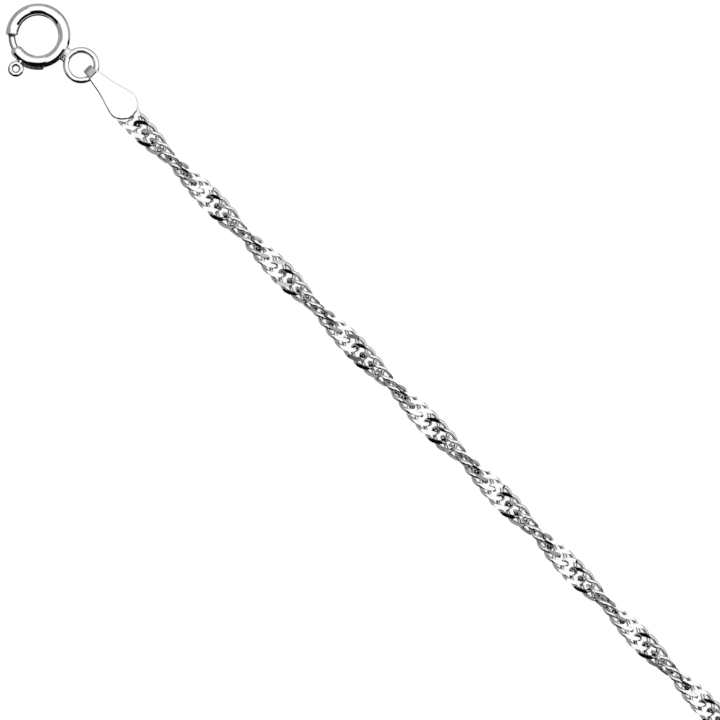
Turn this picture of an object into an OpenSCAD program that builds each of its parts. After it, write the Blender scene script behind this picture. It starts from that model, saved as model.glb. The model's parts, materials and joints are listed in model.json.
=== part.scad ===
// Singapore chain necklace of silver wire, lying flat on a table as one whole loop, with its
// spring ring clasp closed and empty and the end ring lying just beyond it.
// +X runs along the upper straight of the loop, from the clasp into the chain. +Z is up.
// The origin is the middle of the loop, on the table.

/* [Necklace] */
// Length of the necklace along its chain, from the clasp's outer edge to the end ring's
necklace_l = 457; // [400:1:610]
// Radius of the two round ends of the loop, to the middle of the chain
loop_r = 38; // [32:0.5:50]
// Free space between the clasp and the end ring
end_gap = 3; // [1.5:0.1:8]
// Straight chain between a round end of the loop and the end tag
end_run = 2.5; // [1:0.1:8]

/* [Chain] */
// Width of the chain across its links
chain_w = 2.26; // [1.6:0.02:3]
// Thickness of the chain across its cut faces
chain_t = 0.95; // [0.7:0.01:1.3]
// Length of chain in half a turn of its twist
half_turn_l = 9.54; // [7:0.02:14]
// Length of chain at each tag that lies flat before the twist begins
flat_l = 1.1; // [0.6:0.05:2]
// Width of the last link, inside the tag
end_link_w = 1.7; // [1.2:0.02:2]
// Length of chain held inside a tag
grip_l = 1.7; // [1:0.05:2.4]

/* [Spring ring] */
// Outer diameter of the spring ring
ring_d = 6; // [5.5:0.1:8]
// Outer diameter of the ring's tube
tube_d = 1.15; // [1.05:0.01:1.4]
// Wall of the tube
tube_wall = 0.17; // [0.12:0.01:0.2]
// Where the mouth of the ring begins, counterclockwise from +X
mouth_from = 224.5; // [200:0.5:228]
// Angle that the mouth spans
mouth_angle = 25.5; // [22:0.5:30]
// How far the clasp's centre lies off the chain's line, to the inside of the loop
clasp_drop = 0.8; // [0:0.05:1.5]

/* [Bolt] */
// Running clearance of the bolt in the tube, on each side
bolt_play = 0.09; // [0.05:0.01:0.1]
// Angle of the bolt's tip inside the far side of the mouth when closed
bolt_entry = 5; // [3:0.5:6]
// Angle that the bolt draws back
bolt_travel = 36; // [34:0.5:38]
// Where the trigger stands when the clasp is closed, counterclockwise from +X
trigger_at = 282.1; // [278:0.1:284]
// Outer diameter of the trigger's eye
trigger_d = 1.46; // [1.3:0.02:1.8]
// Wire of the trigger
trigger_wire = 0.35; // [0.3:0.01:0.4]
// Diameter of the stem between the bolt and the trigger's eye
stem_d = 0.28; // [0.22:0.01:0.3]
// Clearance of the trigger's wire in its slot, on each side
slot_play = 0.075; // [0.05:0.005:0.1]
// Height of the slot and the trigger over the middle of the tube
slot_rise = 0.2; // [0:0.01:0.22]
// Length of slot left past the trigger at each limit, as an angle
slot_past = 3; // [2:0.5:4]

/* [Attachment rings] */
// Wire of the ring soldered to the clasp and of the end ring
loop_wire = 0.56; // [0.45:0.01:0.7]
// Outer diameter of the ring soldered to the clasp
attach_d = 3.38; // [3:0.02:4]
// Direction of that ring from the clasp's centre, counterclockwise from +X
attach_at = 11.3; // [0:0.1:20]
// Length of solder between the clasp's tube and that ring
solder_l = 0.14; // [0.05:0.01:0.3]
// Diameter of the solder joint
solder_d = 0.9; // [0.7:0.02:1]
// Outer diameter of the end ring
end_ring_d = 4; // [3.4:0.05:5]

/* [Tags] */
// Thickness of the folded strip
leaf_t = 0.25; // [0.18:0.01:0.3]
// Clearance of a ring's wire between the two leaves, on each side
leaf_play = 0.03; // [0.02:0.005:0.06]
// Clearance of the chain's last link between the two leaves, on each side
grip_play = 0.05; // [0.03:0.005:0.08]
// Width of the strap where it folds over a ring
strap_w = 0.95; // [0.8:0.01:1.1]
// Width of a leaf where it leaves the strap
shoulder_w = 1.1; // [1:0.01:1.3]
// Length of the strap, from its fold to the leaf's shoulder
strap_l = 0.83; // [0.7:0.01:1.2]
// Diameter of a leaf's round end
leaf_d = 2.86; // [2.6:0.02:3.2]
// Overall length of a tag
tag_l = 6.18; // [5.5:0.02:8]
// How far a tag lies off the chain's line, to the outside of the loop
tag_rise = 0.33; // [0:0.01:0.35]

/* [Hidden] */
$fn = 64;
RINGS_PER_HALF_TURN = 4;
SECTION_SIDES = 8;
JOINED = 0.05;
METAL = "gainsboro";

// Heights above the table
metal_z = max(tube_d / 2, leaf_t + loop_wire / 2 + leaf_play);
chain_z = chain_w / 2;

// The spring ring
tube_r = (ring_d - tube_d) / 2;
cavity_d = tube_d - 2 * tube_wall;
bolt_d = cavity_d - 2 * bolt_play;
mouth_to = mouth_from + mouth_angle;
dome_angle = asin(tube_d / 2 / tube_r);
tube_from = mouth_to + dome_angle;
tube_angle = 360 + mouth_from - tube_from;
attach_r = (attach_d - loop_wire) / 2;
attach_reach = ring_d / 2 + solder_l + attach_d / 2;
trigger_r = (trigger_d - trigger_wire) / 2;
trigger_reach = ring_d / 2 + trigger_d / 2 - slot_play / 2;
stem_angle = asin((trigger_wire / 2 + slot_play) / tube_r);
slot_h = trigger_wire + 2 * slot_play;
slot_start = stem_d / 2;
slot_from = trigger_at - stem_angle - slot_past;
slot_angle = bolt_travel + 2 * (stem_angle + slot_past);
bolt_from = mouth_from - bolt_entry;
bolt_to = trigger_at + 2 * stem_angle;

// The tags, with x = 0 at the outside of the fold
leaf_gap = loop_wire + 2 * leaf_play;
fold_r = leaf_gap / 2 + leaf_t;
leaf_centre = tag_l - leaf_d / 2;

// Places along the upper straight
straight_l = (necklace_l + end_gap) / 2 - PI * loop_r;
bend_x = straight_l / 2;
end_tag_x = -bend_x + end_run;
end_fold_x = end_tag_x + tag_l;
end_ring_r = (end_ring_d - loop_wire) / 2;
end_ring_x = end_fold_x - fold_r - leaf_gap / 2 + end_ring_r;
clasp_x = end_ring_x + end_ring_d / 2 + end_gap + ring_d / 2;
clasp_y = loop_r - clasp_drop;
attach_x = clasp_x + attach_reach * cos(attach_at);
attach_y = clasp_y + attach_reach * sin(attach_at);
fold_x = attach_x + attach_r - leaf_gap / 2 - fold_r;
tag_y = loop_r + tag_rise;
tag_end_x = fold_x + tag_l;

// The chain's route: along the upper straight, round the far end, back along the lower
// straight, round the near end, and up to the end tag
chain_from_x = tag_end_x - grip_l;
chain_to_x = end_tag_x + grip_l;
first_run = bend_x - chain_from_x;
last_run = chain_to_x + bend_x;
bend_l = PI * loop_r;
chain_l = first_run + 2 * bend_l + straight_l + last_run;
plain_l = grip_l + flat_l;
twisted_l = chain_l - 2 * plain_l;
half_turns = round(twisted_l / half_turn_l);
twist_rings = half_turns * RINGS_PER_HALF_TURN;
ring_step = twisted_l / twist_rings;
climb_l = half_turn_l * 0.4;

// A round bar bent about Z, from one angle to the next
module bent_bar(radius, d, from, angle) {
    rotate([0, 0, from])
        rotate_extrude(angle = angle)
            translate([radius, 0])
                circle(d = d);
}

// A closed ring of round wire, by its outer diameter
module wire_ring(outer_d, wire) {
    rotate_extrude()
        translate([(outer_d - wire) / 2, 0])
            circle(d = wire);
}

// Moves its children to a radius and an angle about Z
module at_polar(radius, angle) {
    rotate([0, 0, angle])
        translate([radius, 0, 0])
            children();
}

// The tube's outside: bent bar, with the mouth's near end domed
module tube_outside() {
    bent_bar(tube_r, tube_d, tube_from, tube_angle);
    at_polar(tube_r, tube_from)
        sphere(d = tube_d);
}

// The small ring and the solder that holds it to the tube
module attachment() {
    at_polar(attach_reach, attach_at)
        wire_ring(attach_d, loop_wire);
    at_polar(ring_d / 2 - tube_wall, attach_at)
        rotate([0, 90, 0])
            cylinder(d = solder_d, h = tube_wall + solder_l + loop_wire / 2);
}

// The slot in the tube's outer wall that the trigger's stem slides in
module trigger_slot() {
    rotate([0, 0, slot_from])
        rotate_extrude(angle = slot_angle)
            translate([tube_r + slot_start, slot_rise - slot_h / 2])
                square([tube_d, slot_h]);
}

module clasp_ring() {
    color(METAL)
        translate([clasp_x, clasp_y, metal_z])
            difference() {
                union() {
                    tube_outside();
                    attachment();
                }
                bent_bar(tube_r, cavity_d, mouth_to - dome_angle, tube_angle + 3 * dome_angle);
                trigger_slot();
            }
}

module clasp_bolt() {
    color(METAL)
        translate([clasp_x, clasp_y, metal_z]) {
            bent_bar(tube_r, bolt_d, bolt_from, bolt_to - bolt_from);
            translate([0, 0, slot_rise]) {
                at_polar(tube_r, trigger_at)
                    rotate([0, 90, 0])
                        cylinder(d = stem_d, h = trigger_reach - tube_r - trigger_r);
                at_polar(trigger_reach, trigger_at)
                    wire_ring(trigger_d, trigger_wire);
            }
        }
}

// Where a straight edge from a leaf's shoulder touches its round end
function shoulder_touch() =
    let (
        back = strap_l - leaf_centre,
        side = shoulder_w / 2,
        away = sqrt(back * back + side * side),
        angle = atan2(side, back) - acos(leaf_d / 2 / away)
    )
    [leaf_centre + leaf_d / 2 * cos(angle), leaf_d / 2 * sin(angle)];

// Outline of a leaf: the strap, the widening shoulders and the round end
module leaf_outline() {
    touch = shoulder_touch();
    translate([fold_r, -strap_w / 2])
        square([strap_l - fold_r + JOINED, strap_w]);
    polygon([
        [strap_l, -shoulder_w / 2],
        [touch[0], -touch[1]],
        [leaf_centre, 0],
        touch,
        [strap_l, shoulder_w / 2]
    ]);
    translate([leaf_centre, 0])
        circle(d = leaf_d);
}

// One leaf, by the height of its lower face
module leaf(low) {
    translate([0, 0, low])
        linear_extrude(leaf_t)
            leaf_outline();
}

// A strip folded over a ring: two leaves and the fold, from x = 0 towards +X
module folded_tag() {
    leaf(leaf_gap / 2);
    leaf(-leaf_gap / 2 - leaf_t);
    translate([fold_r, strap_w / 2, 0])
        rotate([90, 0, 0])
            rotate([0, 0, 90])
                rotate_extrude(angle = 180)
                    translate([leaf_gap / 2, 0])
                        square([leaf_t, strap_w]);
}

module clasp_tag() {
    color(METAL)
        translate([fold_x, tag_y, metal_z])
            folded_tag();
}

module end_tag() {
    color(METAL)
        translate([end_fold_x, loop_r, metal_z])
            rotate([0, 0, 180])
                folded_tag();
}

module end_ring() {
    color(METAL)
        translate([end_ring_x, loop_r, metal_z])
            wire_ring(end_ring_d, loop_wire);
}

// Place on the route at a distance along it: x, y and heading
function straight_at(s) = [chain_from_x + s, loop_r, 0];
function far_bend_at(s) =
    let (turn = s / loop_r * 180 / PI)
    [bend_x + loop_r * sin(turn), loop_r * cos(turn), -turn];
function return_at(s) = [bend_x - s, -loop_r, -180];
function near_bend_at(s) =
    let (turn = s / loop_r * 180 / PI)
    [-bend_x - loop_r * sin(turn), -loop_r * cos(turn), -180 - turn];
function last_at(s) = [-bend_x + s, loop_r, -360];
function route_at(s) =
    s < first_run ? straight_at(s)
    : s < first_run + bend_l ? far_bend_at(s - first_run)
    : s < first_run + bend_l + straight_l ? return_at(s - first_run - bend_l)
    : s < chain_l - last_run ? near_bend_at(s - first_run - bend_l - straight_l)
    : last_at(s - chain_l + last_run);

// Distances along the route of the rings that the chain is swept through
ring_places = concat(
    [0, grip_l + grip_play],
    [for (i = [0 : twist_rings]) plain_l + i * ring_step],
    [chain_l - grip_l - grip_play, chain_l]
);

// Distance from the nearer end of the chain, twist, height and size of section there
function from_end(s) = min(s, chain_l - s);
function twist_at(s) = 180 / (ring_step * RINGS_PER_HALF_TURN) * min(max(s - plain_l, 0), twisted_l);
function height_at(s) =
    metal_z + (chain_z - metal_z) * min(max(from_end(s) - plain_l, 0) / climb_l, 1);
function in_tag(s) = from_end(s) < plain_l - JOINED;
function width_at(s) = in_tag(s) ? end_link_w : chain_w;
function thick_at(s) = in_tag(s) ? leaf_gap - 2 * grip_play : chain_t;

// Corners of one flat section, turned by the twist and set across the route
function section_at(s) =
    let (place = route_at(s), twist = twist_at(s), half_w = width_at(s) / 2, half_t = thick_at(s) / 2)
    [for (i = [0 : SECTION_SIDES - 1])
        let (
            corner = i * 360 / SECTION_SIDES,
            across = half_w * cos(corner),
            up = half_t * sin(corner),
            side = across * cos(twist) - up * sin(twist),
            rise = across * sin(twist) + up * cos(twist)
        )
        [place[0] - side * sin(place[2]), place[1] + side * cos(place[2]), height_at(s) + rise]];

// The chain's outer shape: a flat band that twists along the whole route
module chain() {
    rings = len(ring_places);
    last = (rings - 1) * SECTION_SIDES;
    corners = [for (s = ring_places) each section_at(s)];
    sides = [for (r = [0 : rings - 2], i = [0 : SECTION_SIDES - 1])
        let (here = r * SECTION_SIDES, next = (i + 1) % SECTION_SIDES)
        each [
            [here + i, here + next, here + SECTION_SIDES + next],
            [here + i, here + SECTION_SIDES + next, here + SECTION_SIDES + i]
        ]];
    near_end = [[for (i = [SECTION_SIDES - 1 : -1 : 0]) i]];
    far_end = [[for (i = [0 : SECTION_SIDES - 1]) last + i]];
    color(METAL)
        polyhedron(points = corners, faces = concat(near_end, sides, far_end));
}

clasp_ring();
clasp_bolt();
clasp_tag();
chain();
end_tag();
end_ring();
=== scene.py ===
"""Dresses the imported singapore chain: its links, spring ring clasp, folded tags and end ring."""

import json
import logging
import math
from dataclasses import dataclass, field, replace
from enum import Enum

import bmesh
import bpy
import numpy as np
from mathutils import Matrix, Vector


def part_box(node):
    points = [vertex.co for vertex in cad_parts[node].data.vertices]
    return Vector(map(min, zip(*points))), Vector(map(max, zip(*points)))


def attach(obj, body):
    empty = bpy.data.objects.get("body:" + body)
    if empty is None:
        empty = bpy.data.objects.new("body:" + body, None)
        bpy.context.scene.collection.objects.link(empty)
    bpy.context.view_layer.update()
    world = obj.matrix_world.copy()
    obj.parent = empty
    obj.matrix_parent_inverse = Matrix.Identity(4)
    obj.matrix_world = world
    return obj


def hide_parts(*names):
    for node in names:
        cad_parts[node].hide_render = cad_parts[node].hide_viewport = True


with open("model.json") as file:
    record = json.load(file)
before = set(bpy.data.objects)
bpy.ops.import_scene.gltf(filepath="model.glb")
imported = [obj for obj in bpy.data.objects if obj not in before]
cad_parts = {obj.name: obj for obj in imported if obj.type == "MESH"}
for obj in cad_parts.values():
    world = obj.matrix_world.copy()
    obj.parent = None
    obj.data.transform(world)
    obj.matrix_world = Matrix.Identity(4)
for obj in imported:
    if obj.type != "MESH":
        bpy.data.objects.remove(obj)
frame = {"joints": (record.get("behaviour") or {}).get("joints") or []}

LOG = logging.getLogger("singapore_chain")
MM = 0.001
SEED = 7
WELD = 0.0002 * MM  # vertices closer than this are merged
CRISP = 35.0  # degrees between two faces above which their edge stays crisp
ROUND = 28  # vertices around a wire
RING_STEPS = 96  # sections around a ring
DARKEST = 0.02  # colour of silver at the full strength of its painted shade and specks
BLACK = 0.003  # brightness of a black card
FIRST_LINK = 10.18 * MM  # from the clasp's centre to the first link's
LAST_LINK = 1.3 * MM  # how far the last link's centre lies inside the end tag


class Slot(Enum):
    """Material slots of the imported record."""

    POLISHED = "polished_silver"
    CUT = "cut_silver"


class Body(Enum):
    """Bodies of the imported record."""

    NECKLACE = "necklace"
    BOLT = "bolt"


def polar(radius: float, degrees: float) -> np.ndarray:
    """Gives the point at a radius and an angle in degrees about Z, at height 0."""
    turn = math.radians(degrees)
    return np.array([radius * math.cos(turn), radius * math.sin(turn), 0.0])


def smooth(value: np.ndarray) -> np.ndarray:
    """Eases values from 0 to 1 with no slope at either end, and holds those past the ends."""
    value = np.clip(value, 0.0, 1.0)
    return value * value * (3.0 - 2.0 * value)


@dataclass(frozen=True)
class Silver:
    """A polished silver finish, with faint waves and wipe marks from its buffing.

    Attributes:
        name: Name of the material.
        colour: Colour of the metal.
        roughness: Lowest and highest roughness over the surface.
        wave_size: Width of the buffed waves, in metres.
        wave_depth: Depth of the waves, in metres.
        mark_size: Spacing of the fine wipe marks, in metres.
        mark_depth: Depth of the marks, in metres.
        shade_and_speck_strength: How far the painted shade and dark specks of the mesh's attribute
            darken the metal, from 0 to 1.
        dull: Share of the colour that is left where the waves are dullest.
        wave_detail: Finer layers in the waves.
        mark_detail: Finer layers in the marks.
    """

    name: str
    colour: tuple[float, float, float]
    roughness: tuple[float, float]
    wave_size: float
    wave_depth: float
    mark_size: float
    mark_depth: float
    shade_and_speck_strength: float = 0.0
    dull: float = 0.97
    wave_detail: float = 2.0
    mark_detail: float = 4.0

    def material(self) -> bpy.types.Material:
        """Builds the finish, or returns it if it is already made.

        Returns:
            The material.
        """
        made = bpy.data.materials.get(self.name)
        if made:
            return made
        made = bpy.data.materials.new(self.name)
        made.use_nodes = True
        tree = made.node_tree
        shader = tree.nodes["Principled BSDF"]
        shader.inputs["Metallic"].default_value = 1.0
        place = tree.nodes.new("ShaderNodeTexCoord")
        waves = self._noise(tree, place, self.wave_size, self.wave_detail)
        marks = self._noise(tree, place, self.mark_size, self.mark_detail)
        tint = tree.nodes.new("ShaderNodeMix")
        tint.data_type = "RGBA"
        tint.inputs["A"].default_value = (*[c * self.dull for c in self.colour], 1.0)
        tint.inputs["B"].default_value = (*self.colour, 1.0)
        tree.links.new(waves.outputs["Fac"], tint.inputs["Factor"])
        # Painted shade: a mesh attribute darkens the colour between links and in other shaded
        # places, and at dark specks
        if self.shade_and_speck_strength:
            crevice = tree.nodes.new("ShaderNodeAttribute")
            crevice.attribute_name = "crevice"
            depth = tree.nodes.new("ShaderNodeMath")
            depth.operation = "MULTIPLY"
            depth.inputs[1].default_value = self.shade_and_speck_strength
            tree.links.new(crevice.outputs["Fac"], depth.inputs[0])
            darken = tree.nodes.new("ShaderNodeMix")
            darken.data_type = "RGBA"
            darken.inputs["B"].default_value = (DARKEST, DARKEST, DARKEST, 1.0)
            tree.links.new(depth.outputs["Value"], darken.inputs["Factor"])
            tree.links.new(tint.outputs["Result"], darken.inputs["A"])
            tint = darken
        tree.links.new(tint.outputs["Result"], shader.inputs["Base Color"])
        spread = tree.nodes.new("ShaderNodeMapRange")
        spread.inputs["To Min"].default_value = self.roughness[0]
        spread.inputs["To Max"].default_value = self.roughness[1]
        tree.links.new(marks.outputs["Fac"], spread.inputs["Value"])
        tree.links.new(spread.outputs["Result"], shader.inputs["Roughness"])
        first = self._bump(tree, waves, self.wave_depth, None)
        second = self._bump(tree, marks, self.mark_depth, first)
        tree.links.new(second.outputs["Normal"], shader.inputs["Normal"])
        return made

    @staticmethod
    def _noise(
        tree: bpy.types.NodeTree, place: bpy.types.Node, size: float, detail: float
    ) -> bpy.types.Node:
        """Adds noise of a given size, in metres.

        Args:
            tree: The material's nodes.
            place: The texture coordinate node.
            size: Width of one wave of the noise.
            detail: Number of finer layers.

        Returns:
            The noise node.
        """
        noise = tree.nodes.new("ShaderNodeTexNoise")
        noise.inputs["Scale"].default_value = 1.0 / size
        noise.inputs["Detail"].default_value = detail
        tree.links.new(place.outputs["Object"], noise.inputs["Vector"])
        return noise

    @staticmethod
    def _bump(
        tree: bpy.types.NodeTree, height: bpy.types.Node, depth: float, under: bpy.types.Node | None
    ) -> bpy.types.Node:
        """Adds a bump of a given depth, in metres, over another one.

        Args:
            tree: The material's nodes.
            height: Node whose Fac output is the height.
            depth: Depth of the bump.
            under: Bump that this one lies on, if there is one.

        Returns:
            The bump node.
        """
        bump = tree.nodes.new("ShaderNodeBump")
        bump.inputs["Distance"].default_value = depth
        tree.links.new(height.outputs["Fac"], bump.inputs["Height"])
        if under:
            tree.links.new(under.outputs["Normal"], bump.inputs["Normal"])
        return bump


BUFFED = Silver(
    name="buffed_silver",
    colour=(0.955, 0.95, 0.945),
    roughness=(0.03, 0.08),
    wave_size=0.9 * MM,
    wave_depth=0.006 * MM,
    mark_size=0.12 * MM,
    mark_depth=0.0008 * MM,
)
# Silver for the bolt and eye, darkened by painted shade: dark reflections on the bolt's sides, a
# shadow line at the tube's end, the eye's hole and rim
PAINTED_SHADE_SILVER = replace(BUFFED, name="rubbed_silver", shade_and_speck_strength=1.0)
CUT_FACE = Silver(
    name="cut_silver_face",
    colour=(0.93, 0.93, 0.925),
    roughness=(0.01, 0.05),
    wave_size=0.5 * MM,
    wave_depth=0.001 * MM,
    mark_size=0.06 * MM,
    mark_depth=0.0003 * MM,
)
DRAWN_WIRE = Silver(
    name="drawn_silver_wire",
    colour=(0.92, 0.92, 0.915),
    roughness=(0.03, 0.08),
    wave_size=0.25 * MM,
    wave_depth=0.004 * MM,
    mark_size=0.07 * MM,
    mark_depth=0.001 * MM,
    # the links get painted shade where they lie between their neighbours
    shade_and_speck_strength=1.0,
)
# The bent strap's rougher satin finish; its dark colour is a painted shade, not the silver's own
SATIN_AND_SHADE = Silver(
    name="satin_silver",
    colour=(0.52, 0.52, 0.515),
    roughness=(0.32, 0.45),
    wave_size=0.3 * MM,
    wave_depth=0.012 * MM,
    mark_size=0.05 * MM,
    mark_depth=0.003 * MM,
)
RAW = Silver(
    name="raw_silver",
    colour=(0.52, 0.52, 0.515),
    roughness=(0.35, 0.6),
    wave_size=0.2 * MM,
    wave_depth=0.05 * MM,
    mark_size=0.06 * MM,
    mark_depth=0.008 * MM,
)
SOLDER = Silver(
    name="silver_solder",
    colour=(0.86, 0.86, 0.855),
    roughness=(0.06, 0.16),
    wave_size=0.35 * MM,
    wave_depth=0.2 * MM,
    mark_size=0.13 * MM,
    mark_depth=0.03 * MM,
    shade_and_speck_strength=1.0,
)


@dataclass
class MeshParts:
    """Vertices and faces gathered for one mesh, with a material number for each face.

    Attributes:
        points: Vertex places, one array for each part.
        faces: Quads, as rows of four numbers into all the vertices.
        slots: Material number of each quad.
        shade_and_speck_shares: How dark each vertex is painted, from 0 to 1: painted shade between
            links and in other shaded places, and dark specks.
        count: Number of vertices so far.
    """

    points: list[np.ndarray] = field(default_factory=list)
    faces: list[np.ndarray] = field(default_factory=list)
    slots: list[np.ndarray] = field(default_factory=list)
    shade_and_speck_shares: list[np.ndarray] = field(default_factory=list)
    count: int = 0

    def add(
        self,
        points: np.ndarray,
        faces: np.ndarray,
        slot: int | np.ndarray = 0,
        crevice: float | np.ndarray = 0.0,
    ) -> None:
        """Adds vertices and the quads between them.

        Args:
            points: Vertex places, one row each.
            faces: Quads, as rows of four numbers into points.
            slot: Material number of all the faces, or of each.
            crevice: How dark all the vertices, or each, are painted by painted shade and dark
                specks, from 0 to 1.
        """
        self.points.append(np.asarray(points, float).reshape(-1, 3))
        self.faces.append(np.asarray(faces, int).reshape(-1, 4) + self.count)
        self.slots.append(np.broadcast_to(np.asarray(slot, int), (len(self.faces[-1]),)))
        self.shade_and_speck_shares.append(np.broadcast_to(np.asarray(crevice, float), (len(self.points[-1]),)))
        self.count += len(self.points[-1])

    def build(self, name: str, finishes: list[Silver], sharp: float = CRISP) -> bpy.types.Object:
        """Makes the mesh object.

        Args:
            name: Name of the piece.
            finishes: Finish of each material number.
            sharp: Angle between faces above which their edge stays crisp, in degrees.

        Returns:
            The object, linked to the scene.
        """
        mesh = bpy.data.meshes.new(name)
        faces = np.concatenate(self.faces)
        mesh.from_pydata(np.concatenate(self.points).tolist(), [], faces.tolist())
        mesh.polygons.foreach_set("material_index", np.concatenate(self.slots).astype(np.int32))
        # The attribute that the finishes darken by: painted shade and dark specks
        depth = mesh.attributes.new("crevice", "FLOAT", "POINT")
        depth.data.foreach_set("value", np.concatenate(self.shade_and_speck_shares).astype(np.float32))
        for finish in finishes:
            mesh.materials.append(finish.material())
        piece = bpy.data.objects.new(name, mesh)
        bpy.context.scene.collection.objects.link(piece)
        tidy(piece, sharp)
        return piece


def tidy(piece: bpy.types.Object, sharp: float) -> None:
    """Merges doubled vertices, drops empty faces and shades a piece smooth.

    Args:
        piece: The mesh object.
        sharp: Angle between faces above which their edge stays crisp, in degrees.
    """
    shape = bmesh.new()
    shape.from_mesh(piece.data)
    bmesh.ops.remove_doubles(shape, verts=shape.verts, dist=WELD)
    bmesh.ops.dissolve_degenerate(shape, edges=shape.edges, dist=WELD)
    bmesh.ops.recalc_face_normals(shape, faces=shape.faces)
    shape.to_mesh(piece.data)
    shape.free()
    piece.data.shade_smooth()
    piece.data.set_sharp_from_angle(angle=math.radians(sharp))


def grid_faces(rows: int, columns: int, close_rows: bool, close_columns: bool) -> np.ndarray:
    """Numbers the quads of a grid of vertices.

    Args:
        rows: Vertices along the first way.
        columns: Vertices along the second way.
        close_rows: Whether the last row joins the first.
        close_columns: Whether the last column joins the first.

    Returns:
        The quads, shaped rows by columns by four.
    """
    row = np.arange(rows if close_rows else rows - 1)[:, None]
    column = np.arange(columns if close_columns else columns - 1)[None, :]
    row_after, column_after = (row + 1) % rows, (column + 1) % columns
    corners = [
        row * columns + column,
        row * columns + column_after,
        row_after * columns + column_after,
        row_after * columns + column,
    ]
    return np.stack(np.broadcast_arrays(*corners), axis=-1)


def swept(
    centres: np.ndarray,
    sides: np.ndarray,
    ups: np.ndarray,
    corners: int = ROUND,
    loop: bool = False,
) -> tuple[np.ndarray, np.ndarray]:
    """Sweeps an oval section through a row of places.

    Args:
        centres: Middle of each section.
        sides: From the middle to the section's edge, along its first half axis.
        ups: The same along its second half axis.
        corners: Vertices around a section.
        loop: Whether the last section joins the first.

    Returns:
        Vertices and quads.
    """
    turn = np.arange(corners) * 2 * math.pi / corners
    points = (centres[:, None] + np.cos(turn)[None, :, None] * sides[:, None]
              + np.sin(turn)[None, :, None] * ups[:, None])
    return points, grid_faces(len(centres), corners, loop, True)


def wire_ring(
    centre: np.ndarray,
    radius: float,
    wire: float,
    steps: int = RING_STEPS,
    corners: int = ROUND,
) -> tuple[np.ndarray, np.ndarray]:
    """Builds a closed ring of round wire, lying flat.

    Args:
        centre: Middle of the ring.
        radius: Radius of the wire's centre line.
        wire: Diameter of the wire.
        steps: Sections around the ring.
        corners: Vertices around the wire.

    Returns:
        Vertices and quads.
    """
    ways = np.array([polar(1.0, 360.0 * step / steps) for step in range(steps)])
    ups = np.tile([0.0, 0.0, wire / 2], (steps, 1))
    return swept(centre + radius * ways, wire / 2 * ways, ups, corners, True)


def publish(piece: bpy.types.Object, body: Body, slot: Slot, *nodes: str) -> None:
    """Ties a finished piece to its body and hides the nodes that it stands for.

    Args:
        piece: The piece.
        body: Body that it moves with.
        slot: Material slot of the record; not used.
        nodes: Nodes that the piece replaces.
    """
    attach(piece, body.value)
    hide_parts(*nodes)
    LOG.info("%s: %d faces, for %s", piece.name, len(piece.data.polygons), ", ".join(nodes))


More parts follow.
